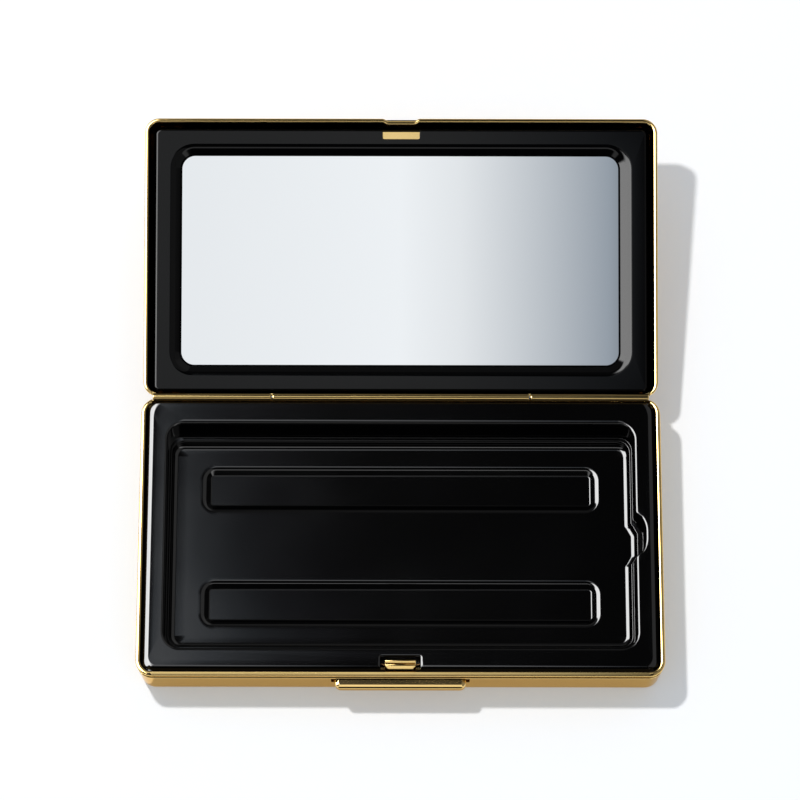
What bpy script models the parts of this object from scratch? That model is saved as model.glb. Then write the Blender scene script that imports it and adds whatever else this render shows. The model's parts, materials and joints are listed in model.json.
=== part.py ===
"""A rectangular make-up compact, modelled open as it lies on a table.

Two gilt metal shells are joined by a three-knuckle tube hinge. The base holds a black moulded
tray with a stepped well, two sunk channels and a finger notch, and the lid holds a mirror in a
black frame. A thumb bar in the front wall pushes the hook that catches the lid's dented lip.

X runs to the right, Y to the hinge and Z up. The origin is the middle of the base's underside,
and the lid is drawn closed and then turned open about its hinge.
"""
import math
from collections import namedtuple

import bmesh
import bpy
from mathutils import Matrix, Vector

# Base shell, drawn from gilt sheet
BASE_WIDTH = 0.1150
BASE_DEPTH = 0.0627
BASE_HEIGHT = 0.0144
BASE_CORNER = 0.0036
BASE_WALL = 0.0008
BASE_FLOOR = 0.0008
FOOT_ROUND = 0.0025
BASE_BEAD_HEIGHT = 0.0013
BEAD_PROUD = 0.00025
RIM_ROUND = 0.00035

# Lid shell, and how far the open lid rises above level
LID_INSET = 0.00035
LID_WALL = 0.0007
LID_TOP = 0.0006
LID_ROUND = 0.0022
LID_BEAD_HEIGHT = 0.0010
OPEN_TILT = 11.3

# Hinge tube and pin
PIN_RADIUS = 0.00040
KNUCKLE_WALL = 0.00030
HINGE_END = 0.0025
CENTRE_KNUCKLE = 0.0569
KNUCKLE_ROUND = 0.00020
HINGE_SETBACK = 0.00015

# Clearances
RIM_GAP = 0.0003
RUN_GAP = 0.0003
SEAT_GAP = 0.0001
PIN_GAP = 0.0001
TRAY_GAP = 0.00035
POCKET_SIDE_GAP = 0.00135
SLOT_SIDE_GAP = 0.0008
WINDOW_SIDE_GAP = 0.0008
WINDOW_REAR_GAP = 0.00125
SPRING_GAP = 0.00015
NOSE_GAP = 0.0001

# Black tray in the base
TRAY_DROP = 0.0009
TRAY_WALL = 0.0009
TRAY_ROLL = 0.0016
TRAY_SIDE_BORDER = 0.0043
TRAY_REAR_BORDER = 0.0044
WELL_CORNER = 0.0036
WELL_EDGE_ROUND = 0.0004
UPPER_TAPER_SIDE = 0.0007
UPPER_TAPER_FRONT = 0.0008
UPPER_TAPER_REAR = 0.0014
LEDGE_WIDTH = 0.0007
LEDGE_ROUND = 0.0002
LOWER_TAPER = 0.0004
LOWER_STEP = 0.0029
FLOOR_ROUND = 0.0008
TRAY_FLOOR = 0.0007

# Two channels sunk in the tray's floor
CHANNEL_DEPTH = 0.0010
CHANNEL_WIDTH = 0.0108
CHANNEL_END_MARGIN = 0.0047
CHANNEL_SIDE_MARGIN = 0.0040
CHANNEL_SLOPE = 0.0021
CHANNEL_CORNER = 0.0033

# Finger notch in the well's right wall
NOTCH_CENTRE = 0.0009
NOTCH_MOUTH = 0.0105
NOTCH_FLAT = 0.0044
NOTCH_LOW_REACH = 0.0014

# Mirror, its frame and the tapes
LID_SIDE_GAP = 0.0013
LID_REAR_GAP = 0.00045
FRAME_DROP = 0.0008
FRAME_WALL = 0.0007
FRAME_ROUND = 0.0006
FRAME_BORDER = 0.0040
FRAME_FLOOR = 0.0010
MIRROR_SLOPE_WIDTH = 0.0017
MIRROR_SLOPE_DEPTH = 0.0012
MIRROR_THICKNESS = 0.0012
MIRROR_CORNER = 0.0032
MIRROR_BEVEL = 0.0003
TAPE_THICKNESS = 0.0002
TAPE_MARGIN = 0.0030

# Latch: thumb bar, hook, guide and leaf spring
LATCH_TRAVEL = 0.0010
BAR_WIDTH = 0.0286
BAR_HEIGHT = 0.0034
BAR_PROUD = 0.00195
BAR_ROUND = 0.0005
BAR_END_ROUND = 0.0011
FLANGE_LIP = 0.0011
FLANGE_TOP_LIP = 0.0006
FLANGE_THICKNESS = 0.0006
STUD_RADIUS = 0.00075
STUD_MARGIN = 0.0020
HOOK_PLATE_WIDTH = 0.0160
HOOK_THICKNESS = 0.0006
HOOK_WIDTH = 0.0067
HOOK_TIP_WIDTH = 0.0054
HOOK_TIP = 0.0003
HOOK_SLOPE = 0.0008
HOOK_SHOULDER = 0.00085
DENT_REACH = 0.00055
DENT_RAMP = 0.00095
POCKET_CORNER = 0.0006
GUIDE_WALL = 0.0014
GUIDE_BACK = 0.0006
GUIDE_SHELF = 0.0010
GUIDE_LEG = 0.0042
SPRING_SPAN = 0.0140
SPRING_HEIGHT = 0.0030
SPRING_THICKNESS = 0.00025

# Facets of round work, the least corner and the angle past which an edge is sharp
CORNER_STEPS = 6
ROUND_STEPS = 3
WAVE_STEPS = 3
TURNED_STEPS = 20
SPRING_STEPS = 14
LEAST_RADIUS = 0.0002
MERGE_DISTANCE = 0.00001
SHARP_ANGLE = 35

# Places worked out from the sizes above
OPEN_ANGLE = 180 - OPEN_TILT
HINGE_Y = BASE_DEPTH / 2
HINGE_Z = BASE_HEIGHT + RIM_GAP / 2
HINGE_HALF = BASE_WIDTH / 2 - HINGE_END
KNUCKLE_BORE = PIN_RADIUS + PIN_GAP
KNUCKLE_RADIUS = KNUCKLE_BORE + KNUCKLE_WALL
INNER_ROUND = FOOT_ROUND - BASE_WALL
TAPED = TAPE_THICKNESS + 2 * SEAT_GAP
TRAY_TOP = BASE_HEIGHT - TRAY_DROP
TRAY_UNDER = TRAY_TOP - TRAY_WALL
WELL_FLOOR = BASE_FLOOR + TAPED + TRAY_FLOOR + CHANNEL_DEPTH
LEDGE_Z = WELL_FLOOR + LOWER_STEP
NOTCH_REACH = TRAY_SIDE_BORDER - 2 * TRAY_WALL - RUN_GAP
LID_RIM_Z = BASE_HEIGHT + RIM_GAP
FRAME_Z = LID_RIM_Z + FRAME_DROP
MIRROR_Z = FRAME_Z + MIRROR_SLOPE_DEPTH
MIRROR_SEAT = MIRROR_Z + MIRROR_THICKNESS + TAPED
FRAME_BACK = MIRROR_SEAT + FRAME_FLOOR
LID_TOP_Z = FRAME_BACK + TAPED + LID_TOP
FLANGE_TOP = TRAY_UNDER - RUN_GAP
BAR_TOP = FLANGE_TOP - FLANGE_TOP_LIP
BAR_BOTTOM = BAR_TOP - BAR_HEIGHT
FLANGE_BOTTOM = BAR_BOTTOM - FLANGE_LIP
BAR_MIDDLE = (BAR_TOP + BAR_BOTTOM) / 2

Ring = namedtuple("Ring", "outline z push", defaults=(0.0,))
Wave = namedtuple("Wave", "edge centre mouth flat")


class Outline:
    """A rounded rectangle in plan: half its width, its front and rear edge, its corner radius."""

    def __init__(self, half, front, rear, radius):
        self.half = half
        self.front = front
        self.rear = rear
        self.radius = max(radius, LEAST_RADIUS)

    def grown(self, side, front=None, rear=None):
        """The rectangle moved outwards, by other distances at the front and rear where given."""
        front = side if front is None else front
        rear = side if rear is None else rear
        return Outline(self.half + side, self.front - front, self.rear + rear, self.radius + side)


BASE_BEAD = Outline(BASE_WIDTH / 2, -BASE_DEPTH / 2, HINGE_Y - HINGE_SETBACK, BASE_CORNER)
BASE_OUTER = BASE_BEAD.grown(-BEAD_PROUD, rear=0)
BASE_INNER = BASE_OUTER.grown(-BASE_WALL)

# The latch is laid out from the base's front wall inwards, and the well begins behind it
FLANGE_FRONT = BASE_INNER.front + RUN_GAP
FLANGE_REAR = FLANGE_FRONT + FLANGE_THICKNESS
HOOK_FRONT = FLANGE_REAR + SEAT_GAP
HOOK_REAR = HOOK_FRONT + HOOK_THICKNESS
GUIDE_FACE = HOOK_REAR + HOOK_SHOULDER + LATCH_TRAVEL + RUN_GAP
GUIDE_REAR = GUIDE_FACE + GUIDE_BACK
FLANGE_HALF = BAR_WIDTH / 2 + SLOT_SIDE_GAP + FLANGE_LIP
GUIDE_HALF = FLANGE_HALF + RUN_GAP + GUIDE_WALL
STUD_X = HOOK_PLATE_WIDTH / 2 - STUD_MARGIN
LATCH_ORIGIN = Vector((0, HOOK_FRONT, BAR_MIDDLE))

TRAY_OUTER = BASE_INNER.grown(-TRAY_GAP)
WELL = Outline(
    TRAY_OUTER.half - TRAY_SIDE_BORDER,
    GUIDE_REAR + RUN_GAP + TRAY_WALL,
    TRAY_OUTER.rear - TRAY_REAR_BORDER,
    WELL_CORNER)
UPPER_FOOT = WELL.grown(-UPPER_TAPER_SIDE, -UPPER_TAPER_FRONT, -UPPER_TAPER_REAR)
LOWER_TOP = UPPER_FOOT.grown(-LEDGE_WIDTH)
LOWER_FOOT = LOWER_TOP.grown(-LOWER_TAPER)
WELL_FLAT = LOWER_FOOT.grown(-FLOOR_ROUND)
LID_BEAD = BASE_BEAD.grown(-LID_INSET, rear=0)
LID_OUTER = LID_BEAD.grown(-BEAD_PROUD, rear=0)
LID_INNER = LID_OUTER.grown(-LID_WALL)
FRAME_OUTER = LID_INNER.grown(-LID_SIDE_GAP, rear=-LID_REAR_GAP)
FRAME_MOUTH = FRAME_OUTER.grown(-FRAME_BORDER)
MIRROR_EDGE = FRAME_MOUTH.grown(-MIRROR_SLOPE_WIDTH)
FRAME_MOUTH.radius = MIRROR_CORNER + MIRROR_SLOPE_WIDTH
MIRROR_EDGE.radius = MIRROR_CORNER
NOTCH = Wave("right", NOTCH_CENTRE, NOTCH_MOUTH, NOTCH_FLAT)
DENT_FLAT = HOOK_TIP_WIDTH + 2 * RUN_GAP
DENT = Wave("front", 0.0, DENT_FLAT + 2 * DENT_RAMP, DENT_FLAT)


def start_scene():
    """Empties the scene and makes the collection of parts and that of tools."""
    for obj in list(bpy.data.objects):
        bpy.data.objects.remove(obj)
    made = []
    for name in ("makeup_compact", "tools"):
        collection = bpy.data.collections.new(name)
        bpy.context.scene.collection.children.link(collection)
        made.append(collection)
    return made


PARTS, TOOLS = start_scene()


def finish(name, colour, roughness, metallic):
    """A Principled material."""
    mat = bpy.data.materials.new(name)
    mat.use_nodes = True
    shader = mat.node_tree.nodes["Principled BSDF"]
    shader.inputs["Base Color"].default_value = (*colour, 1)
    shader.inputs["Roughness"].default_value = roughness
    shader.inputs["Metallic"].default_value = metallic
    return mat


GILT = finish("gilt metal", (0.83, 0.61, 0.27), 0.22, 1.0)
BLACK = finish("gloss black plastic", (0.012, 0.012, 0.013), 0.18, 0.0)
SILVERED = finish("silvered glass", (0.86, 0.88, 0.90), 0.03, 1.0)
STEEL = finish("spring steel", (0.56, 0.57, 0.58), 0.30, 1.0)
TAPE = finish("adhesive tape", (0.70, 0.69, 0.65), 0.80, 0.0)
PLASTIC = finish("matt black plastic", (0.030, 0.030, 0.032), 0.50, 0.0)


def axis_empty(name, place, turn=0.0):
    """An empty on a joint's axis, which carries the pieces that move together."""
    empty = bpy.data.objects.new(name, None)
    PARTS.objects.link(empty)
    empty.location = place
    empty.rotation_euler.x = math.radians(turn)
    return empty


LID_AXIS = axis_empty("lid_axis", (0, HINGE_Y, HINGE_Z), -OPEN_ANGLE)
LATCH_AXIS = axis_empty("latch_axis", LATCH_ORIGIN)


def piece(name, mesh, mat, carrier=None):
    """A named part, or one of the tools where it has no material, hung on the empty that carries it."""
    obj = bpy.data.objects.new(name, mesh)
    if mat is None:
        TOOLS.objects.link(obj)
        obj.hide_render = True
        obj.display_type = "WIRE"
    else:
        PARTS.objects.link(obj)
        mesh.materials.append(mat)
        mesh.shade_smooth()
        mesh.set_sharp_from_angle(angle=math.radians(SHARP_ANGLE))
    if carrier:
        mesh.transform(Matrix.Translation(-carrier.location))
        obj.parent = carrier
    return obj


def combine(target, tool, operation="DIFFERENCE"):
    """Cuts a part by a tool, or joins the tool to it."""
    modifier = target.modifiers.new(tool.name, "BOOLEAN")
    modifier.operation = operation
    modifier.object = tool
    modifier.solver = "EXACT"


def wave_places(wave):
    """Places along an edge, and how far each is pushed there, from 0 at the mouth to 1 on the flat."""
    ramp = (wave.mouth - wave.flat) / 2
    rise = []
    for step in range(WAVE_STEPS + 1):
        share = step / WAVE_STEPS
        rise.append((-wave.mouth / 2 + ramp * share, (1 - math.cos(math.pi * share)) / 2))
    fall = [(-along, push) for along, push in reversed(rise)]
    return [(wave.centre + along, push) for along, push in rise + fall]


def ring_points(ring, wave):
    """The points of one ring, seen from above counter-clockwise from the front edge's right end."""
    outline = ring.outline
    right = outline.half - outline.radius
    front = outline.front + outline.radius
    rear = outline.rear - outline.radius
    centres = ((right, front, -90), (right, rear, 0), (-right, rear, 90), (-right, front, 180))
    points = []
    for x, y, start in centres:
        for step in range(CORNER_STEPS + 1):
            angle = math.radians(start + 90 * step / CORNER_STEPS)
            points.append((x + outline.radius * math.cos(angle), y + outline.radius * math.sin(angle)))
        if wave and wave.edge == "right" and start == -90:
            points += [(outline.half + ring.push * share, y) for y, share in wave_places(wave)]
        if wave and wave.edge == "front" and start == 180:
            points += [(x, outline.front - ring.push * share) for x, share in wave_places(wave)]
    return [(x, y, ring.z) for x, y in points]


def ring_mesh(name, rings, wave=None):
    """A closed body lofted through rounded rectangles, with its first and last ring closed."""
    bm = bmesh.new()
    loops = [[bm.verts.new(point) for point in ring_points(ring, wave)] for ring in rings]
    for lower, upper in zip(loops, loops[1:]):
        for i in range(len(lower)):
            j = (i + 1) % len(lower)
            bm.faces.new((lower[i], lower[j], upper[j], upper[i]))
    bm.faces.new(loops[0])
    bm.faces.new(loops[-1])
    bmesh.ops.recalc_face_normals(bm, faces=bm.faces)
    mesh = bpy.data.meshes.new(name)
    bm.to_mesh(mesh)
    bm.free()
    return mesh


def rounded(outline, z, radius, begin, end, push=0.0):
    """Rings of a fillet about a centre line; in its section 0 degrees is outwards and 90 is up."""
    rings = []
    for step in range(ROUND_STEPS + 1):
        angle = math.radians(begin + (end - begin) * step / ROUND_STEPS)
        rings.append(Ring(outline.grown(radius * math.cos(angle)), z + radius * math.sin(angle), push))
    return rings


def box_mesh(name, low, high):
    """A box between two corners."""
    bm = bmesh.new()
    bmesh.ops.create_cube(bm, size=1)
    low = Vector(low)
    high = Vector(high)
    bmesh.ops.scale(bm, vec=high - low, verts=bm.verts)
    bmesh.ops.translate(bm, vec=(low + high) / 2, verts=bm.verts)
    mesh = bpy.data.meshes.new(name)
    bm.to_mesh(mesh)
    bm.free()
    return mesh


def box_tool(name, low, high, carrier=None):
    """A box that cuts or joins."""
    return piece(name, box_mesh(name, low, high), None, carrier)


def make_base_shell():
    """The deep pan of the base: beaded rim, round foot, slot for the thumb bar, seat for the hinge."""
    rings = rounded(BASE_INNER.grown(-INNER_ROUND), BASE_FLOOR + INNER_ROUND, INNER_ROUND, -90, 0)
    rings += rounded(BASE_INNER.grown(RIM_ROUND), BASE_HEIGHT - RIM_ROUND, RIM_ROUND, 180, 90)
    rings += rounded(BASE_BEAD.grown(-RIM_ROUND), BASE_HEIGHT - RIM_ROUND, RIM_ROUND, 90, 0)
    rings += [Ring(BASE_BEAD, BASE_HEIGHT - BASE_BEAD_HEIGHT + BEAD_PROUD)]
    rings += [Ring(BASE_OUTER, BASE_HEIGHT - BASE_BEAD_HEIGHT)]
    rings += rounded(BASE_OUTER.grown(-FOOT_ROUND), FOOT_ROUND, FOOT_ROUND, 0, -90)
    shell = piece("base_shell", ring_mesh("base_shell", rings), GILT)
    notch_half = HINGE_HALF + RUN_GAP
    seat_z = HINGE_Z - KNUCKLE_RADIUS - RUN_GAP
    combine(shell, box_tool(
        "base_hinge_seat",
        (-notch_half, BASE_INNER.rear - TRAY_GAP, seat_z),
        (notch_half, BASE_OUTER.rear + KNUCKLE_RADIUS, BASE_HEIGHT + BASE_WALL)))
    slot_half = BAR_WIDTH / 2 + SLOT_SIDE_GAP
    combine(shell, box_tool(
        "thumb_slot",
        (-slot_half, BASE_BEAD.front - BASE_WALL, BAR_BOTTOM - RUN_GAP),
        (slot_half, BASE_INNER.front + BASE_WALL, BAR_TOP + RUN_GAP)))
    return shell


def tray_rings():
    """The tray's section from its underside over the rim and down into the well."""
    under = WELL_FLOOR - TRAY_FLOOR
    skirt = BASE_FLOOR + INNER_ROUND
    rings = [
        Ring(LOWER_FOOT.grown(TRAY_WALL - FLOOR_ROUND), under, NOTCH_LOW_REACH),
        Ring(LOWER_FOOT.grown(TRAY_WALL), under + FLOOR_ROUND, NOTCH_LOW_REACH),
        Ring(LOWER_TOP.grown(TRAY_WALL), LEDGE_Z - TRAY_WALL, NOTCH_LOW_REACH),
        Ring(UPPER_FOOT.grown(TRAY_WALL), LEDGE_Z - TRAY_WALL + LEDGE_ROUND, NOTCH_REACH),
        Ring(WELL.grown(TRAY_WALL), TRAY_UNDER, NOTCH_REACH),
        Ring(TRAY_OUTER.grown(-TRAY_WALL), TRAY_UNDER),
        Ring(TRAY_OUTER.grown(-TRAY_WALL), skirt),
        Ring(TRAY_OUTER, skirt),
    ]
    rings += rounded(TRAY_OUTER.grown(-TRAY_ROLL), TRAY_TOP - TRAY_ROLL, TRAY_ROLL, 0, 90)
    lip = WELL.grown(WELL_EDGE_ROUND)
    upper = UPPER_FOOT.grown(-LEDGE_ROUND)
    lower = LOWER_TOP.grown(LEDGE_ROUND)
    rings += rounded(lip, TRAY_TOP - WELL_EDGE_ROUND, WELL_EDGE_ROUND, 90, 180, NOTCH_REACH)
    rings += rounded(upper, LEDGE_Z + LEDGE_ROUND, LEDGE_ROUND, 0, -90, NOTCH_REACH)
    rings += rounded(lower, LEDGE_Z - LEDGE_ROUND, LEDGE_ROUND, 90, 180, NOTCH_LOW_REACH)
    rings += rounded(WELL_FLAT, WELL_FLOOR + FLOOR_ROUND, FLOOR_ROUND, 0, -90, NOTCH_LOW_REACH)
    return rings


def channel_outlines():
    """The rims of the two channels, set in from the front and rear of the well's flat floor."""
    half = WELL_FLAT.half - CHANNEL_END_MARGIN
    front = WELL_FLAT.front + CHANNEL_SIDE_MARGIN
    rear = WELL_FLAT.rear - CHANNEL_SIDE_MARGIN
    return {
        "front": Outline(half, front, front + CHANNEL_WIDTH, CHANNEL_CORNER),
        "rear": Outline(half, rear - CHANNEL_WIDTH, rear, CHANNEL_CORNER),
    }


def make_tray_insert():
    """The black tray: rolled rim, stepped well with a finger notch, two channels, latch pocket."""
    tray = piece("tray_insert", ring_mesh("tray_insert", tray_rings(), NOTCH), BLACK)
    for place, rim in channel_outlines().items():
        foot = rim.grown(-CHANNEL_SLOPE)
        low = WELL_FLOOR - CHANNEL_DEPTH
        boss = [
            Ring(foot.grown(TRAY_WALL), low - TRAY_FLOOR),
            Ring(rim.grown(TRAY_WALL), WELL_FLOOR - TRAY_FLOOR),
            Ring(rim.grown(TRAY_WALL), WELL_FLOOR - TRAY_FLOOR / 2),
        ]
        hollow = [Ring(foot, low), Ring(rim, WELL_FLOOR), Ring(rim, WELL_FLOOR + CHANNEL_DEPTH)]
        boss_tool = piece(f"{place}_channel_boss", ring_mesh("channel_boss", boss), None)
        hollow_tool = piece(f"{place}_channel_hollow", ring_mesh("channel_hollow", hollow), None)
        combine(tray, boss_tool, "UNION")
        combine(tray, hollow_tool)
    pocket = Outline(
        HOOK_WIDTH / 2 + POCKET_SIDE_GAP,
        BASE_OUTER.front,
        GUIDE_FACE,
        POCKET_CORNER)
    pocket_rings = [Ring(pocket, TRAY_UNDER - TRAY_WALL), Ring(pocket, TRAY_TOP + TRAY_WALL)]
    combine(tray, piece("latch_pocket", ring_mesh("latch_pocket", pocket_rings), None))
    relief_half = GUIDE_HALF + RUN_GAP
    combine(tray, box_tool(
        "latch_relief",
        (-relief_half, TRAY_OUTER.front - TRAY_WALL, BASE_FLOOR),
        (relief_half, TRAY_OUTER.front + TRAY_WALL + RUN_GAP, TRAY_UNDER)))
    return tray


def make_tapes():
    """Thin double-sided tapes: under the tray's channels, behind the mirror and behind its frame."""
    tape_z = BASE_FLOOR + SEAT_GAP
    for place, rim in channel_outlines().items():
        foot = rim.grown(-CHANNEL_SLOPE)
        rings = [Ring(foot, tape_z), Ring(foot, tape_z + TAPE_THICKNESS)]
        piece(f"tray_tape_{place}", ring_mesh(f"tray_tape_{place}", rings), TAPE)
    mirror_tape = MIRROR_EDGE.grown(-TAPE_MARGIN)
    for name, z in (("mirror_tape", MIRROR_Z + MIRROR_THICKNESS), ("frame_tape", FRAME_BACK)):
        rings = [Ring(mirror_tape, z + SEAT_GAP), Ring(mirror_tape, z + SEAT_GAP + TAPE_THICKNESS)]
        piece(name, ring_mesh(name, rings), TAPE, LID_AXIS)


def make_lid_shell():
    """The shallow pan of the lid, its rim dented inwards at the front to make the catch's lip."""
    inner_round = LID_ROUND - LID_WALL
    round_z = LID_TOP_Z - LID_TOP - inner_round
    rings = rounded(LID_INNER.grown(-inner_round), round_z, inner_round, 90, 0)
    rings += [Ring(LID_INNER, LID_RIM_Z + LID_BEAD_HEIGHT + BEAD_PROUD)]
    rings += [Ring(LID_INNER, LID_RIM_Z + LID_BEAD_HEIGHT, -DENT_REACH)]
    rings += rounded(LID_INNER.grown(RIM_ROUND), LID_RIM_Z + RIM_ROUND, RIM_ROUND, -180, -90, -DENT_REACH)
    rings += rounded(LID_BEAD.grown(-RIM_ROUND), LID_RIM_Z + RIM_ROUND, RIM_ROUND, -90, 0, -DENT_REACH)
    rings += [Ring(LID_BEAD, LID_RIM_Z + LID_BEAD_HEIGHT - BEAD_PROUD, -DENT_REACH)]
    rings += [Ring(LID_OUTER, LID_RIM_Z + LID_BEAD_HEIGHT)]
    rings += rounded(LID_OUTER.grown(-LID_ROUND), LID_TOP_Z - LID_ROUND, LID_ROUND, 0, 90)
    shell = piece("lid_shell", ring_mesh("lid_shell", rings, DENT), GILT, LID_AXIS)
    notch_half = HINGE_HALF + RUN_GAP
    seat_z = HINGE_Z + KNUCKLE_RADIUS + RUN_GAP
    combine(shell, box_tool(
        "lid_hinge_seat",
        (-notch_half, LID_INNER.rear - LID_REAR_GAP, LID_RIM_Z - LID_WALL),
        (notch_half, LID_OUTER.rear + KNUCKLE_RADIUS, seat_z),
        LID_AXIS))
    return shell


def make_mirror_frame():
    """The black frame in the lid: a border, a slope down to the mirror and the seat behind it."""
    seat = MIRROR_EDGE.grown(RUN_GAP)
    border_back = FRAME_Z + FRAME_WALL
    skirt = LID_TOP_Z - LID_ROUND
    rings = [
        Ring(seat.grown(FRAME_WALL), FRAME_BACK),
        Ring(seat.grown(FRAME_WALL), MIRROR_Z + FRAME_WALL),
        Ring(FRAME_MOUTH.grown(FRAME_WALL), border_back),
        Ring(FRAME_OUTER.grown(-FRAME_WALL), border_back),
        Ring(FRAME_OUTER.grown(-FRAME_WALL), skirt),
        Ring(FRAME_OUTER, skirt),
    ]
    rings += rounded(FRAME_OUTER.grown(-FRAME_ROUND), FRAME_Z + FRAME_ROUND, FRAME_ROUND, 0, -90)
    rings += [Ring(FRAME_MOUTH.grown(WELL_EDGE_ROUND), FRAME_Z)]
    rings += [Ring(FRAME_MOUTH, FRAME_Z + WELL_EDGE_ROUND / 2)]
    rings += [Ring(seat, MIRROR_Z), Ring(seat, MIRROR_SEAT)]
    frame = piece("mirror_frame", ring_mesh("mirror_frame", rings), BLACK, LID_AXIS)
    window_half = HOOK_WIDTH / 2 + WINDOW_SIDE_GAP
    combine(frame, box_tool(
        "catch_window",
        (-window_half, FRAME_OUTER.front - FRAME_WALL, LID_RIM_Z),
        (window_half, HOOK_REAR + LATCH_TRAVEL + WINDOW_REAR_GAP, LID_TOP_Z),
        LID_AXIS))
    return frame


def make_mirror():
    """Silvered glass with its front edge ground to a narrow bevel."""
    rings = [
        Ring(MIRROR_EDGE.grown(-MIRROR_BEVEL), MIRROR_Z),
        Ring(MIRROR_EDGE, MIRROR_Z + MIRROR_BEVEL),
        Ring(MIRROR_EDGE, MIRROR_Z + MIRROR_THICKNESS),
    ]
    return piece("mirror", ring_mesh("mirror", rings), SILVERED, LID_AXIS)


def turned(name, profile, mat, middle, carrier=None):
    """A ring turned about the hinge's line from a closed profile of radius and distance along it."""
    mesh = bpy.data.meshes.new(name)
    edges = [(i, (i + 1) % len(profile)) for i in range(len(profile))]
    mesh.from_pydata([(radius, 0, along) for radius, along in profile], edges, [])
    obj = bpy.data.objects.new(name, mesh)
    PARTS.objects.link(obj)
    mesh.materials.append(mat)
    screw = obj.modifiers.new("turn", "SCREW")
    screw.angle = math.tau
    screw.steps = TURNED_STEPS
    screw.render_steps = TURNED_STEPS
    screw.use_merge_vertices = True
    screw.merge_threshold = MERGE_DISTANCE
    screw.use_smooth_shade = True
    obj.rotation_euler.y = math.pi / 2
    if carrier:
        obj.parent = carrier
        obj.location = (middle, 0, 0)
    else:
        obj.location = (middle, HINGE_Y, HINGE_Z)
    return obj


def knuckle(name, start, end, carrier=None):
    """A tube of the hinge between two places along it, its outer edges broken."""
    half = (end - start) / 2
    profile = [
        (KNUCKLE_RADIUS - KNUCKLE_ROUND, half),
        (KNUCKLE_RADIUS, half - KNUCKLE_ROUND),
        (KNUCKLE_RADIUS, KNUCKLE_ROUND - half),
        (KNUCKLE_RADIUS - KNUCKLE_ROUND, -half),
        (KNUCKLE_BORE, -half),
        (KNUCKLE_BORE, half),
    ]
    return turned(name, profile, GILT, (start + end) / 2, carrier)


def make_hinge():
    """Two tubes brazed on the base's rear wall, one on the lid's, and the pin through all three."""
    inner = CENTRE_KNUCKLE / 2
    knuckle("hinge_knuckle_left", -HINGE_HALF, -inner - RUN_GAP)
    knuckle("hinge_knuckle_right", inner + RUN_GAP, HINGE_HALF)
    knuckle("hinge_knuckle_centre", -inner, inner, LID_AXIS)
    half = HINGE_HALF - SEAT_GAP
    bm = bmesh.new()
    bmesh.ops.create_cone(
        bm, cap_ends=True, segments=TURNED_STEPS, radius1=PIN_RADIUS, radius2=PIN_RADIUS, depth=2 * half)
    mesh = bpy.data.meshes.new("hinge_pin")
    bm.to_mesh(mesh)
    bm.free()
    pin = piece("hinge_pin", mesh, STEEL)
    pin.location = (0, HINGE_Y, HINGE_Z)
    pin.rotation_euler.y = math.pi / 2


def stud_mesh(name, x, radius, start, end):
    """A short round stud along Y at the height of the thumb bar."""
    bm = bmesh.new()
    bmesh.ops.create_cone(
        bm, cap_ends=True, segments=TURNED_STEPS, radius1=radius, radius2=radius, depth=end - start)
    bmesh.ops.rotate(bm, matrix=Matrix.Rotation(math.pi / 2, 3, "X"), verts=bm.verts)
    bmesh.ops.translate(bm, vec=(x, (start + end) / 2, BAR_MIDDLE), verts=bm.verts)
    mesh = bpy.data.meshes.new(name)
    bm.to_mesh(mesh)
    bm.free()
    return mesh


def round_proud_edges(bm, level, radius):
    """Rounds the bar's level or upright edges, as far as they begin in front of the wall."""
    edges = []
    for edge in bm.edges:
        ahead = min(vert.co.y for vert in edge.verts) < BASE_BEAD.front
        rise = abs(edge.verts[0].co.z - edge.verts[1].co.z)
        if ahead and (rise < MERGE_DISTANCE) == level:
            edges.append(edge)
    bmesh.ops.bevel(
        bm, geom=edges, offset=radius, segments=ROUND_STEPS, profile=0.5, affect="EDGES", material=-1)


def make_thumb_bar():
    """The bar pressed with a thumb: it stands out through the slot and a flange keeps it in."""
    bm = bmesh.new()
    bmesh.ops.create_cube(bm, size=1)
    front = BASE_BEAD.front - BAR_PROUD
    depth = FLANGE_REAR - front
    bmesh.ops.scale(bm, vec=(BAR_WIDTH, depth, BAR_HEIGHT), verts=bm.verts)
    bmesh.ops.translate(bm, vec=(0, front + depth / 2, BAR_MIDDLE), verts=bm.verts)
    round_proud_edges(bm, False, BAR_END_ROUND)
    round_proud_edges(bm, True, BAR_ROUND)
    mesh = bpy.data.meshes.new("thumb_bar")
    bm.to_mesh(mesh)
    bm.free()
    bar = piece("thumb_bar", mesh, GILT, LATCH_AXIS)
    combine(bar, box_tool(
        "thumb_flange",
        (-FLANGE_HALF, FLANGE_FRONT, FLANGE_BOTTOM),
        (FLANGE_HALF, FLANGE_REAR, FLANGE_TOP),
        LATCH_AXIS), "UNION")
    for side, x in (("left", -STUD_X), ("right", STUD_X)):
        stud = stud_mesh("stud", x, STUD_RADIUS, FLANGE_FRONT + FLANGE_THICKNESS / 2, HOOK_REAR)
        combine(bar, piece(f"{side}_stud", stud, None, LATCH_AXIS), "UNION")
    return bar


def hook_profile():
    """The hook seen from its end, as Y and Z: plate, shoulder, stem and the nose over the lid's lip."""
    nose = LID_INNER.front + NOSE_GAP
    under = LID_RIM_Z + LID_BEAD_HEIGHT + RUN_GAP
    ridge = under + HOOK_TIP + HOOK_SLOPE
    shoulder_low = FLANGE_TOP - HOOK_THICKNESS
    return [
        (HOOK_FRONT, FLANGE_BOTTOM),
        (HOOK_REAR, FLANGE_BOTTOM),
        (HOOK_REAR, shoulder_low),
        (HOOK_REAR + HOOK_SHOULDER, shoulder_low),
        (HOOK_REAR + HOOK_SHOULDER, FLANGE_TOP),
        (HOOK_REAR, FLANGE_TOP),
        (HOOK_REAR, ridge - HOOK_TIP),
        (HOOK_REAR - HOOK_TIP, ridge),
        (nose + HOOK_SLOPE, ridge),
        (nose, under + HOOK_TIP),
        (nose, under),
        (HOOK_FRONT, under),
    ]


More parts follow.
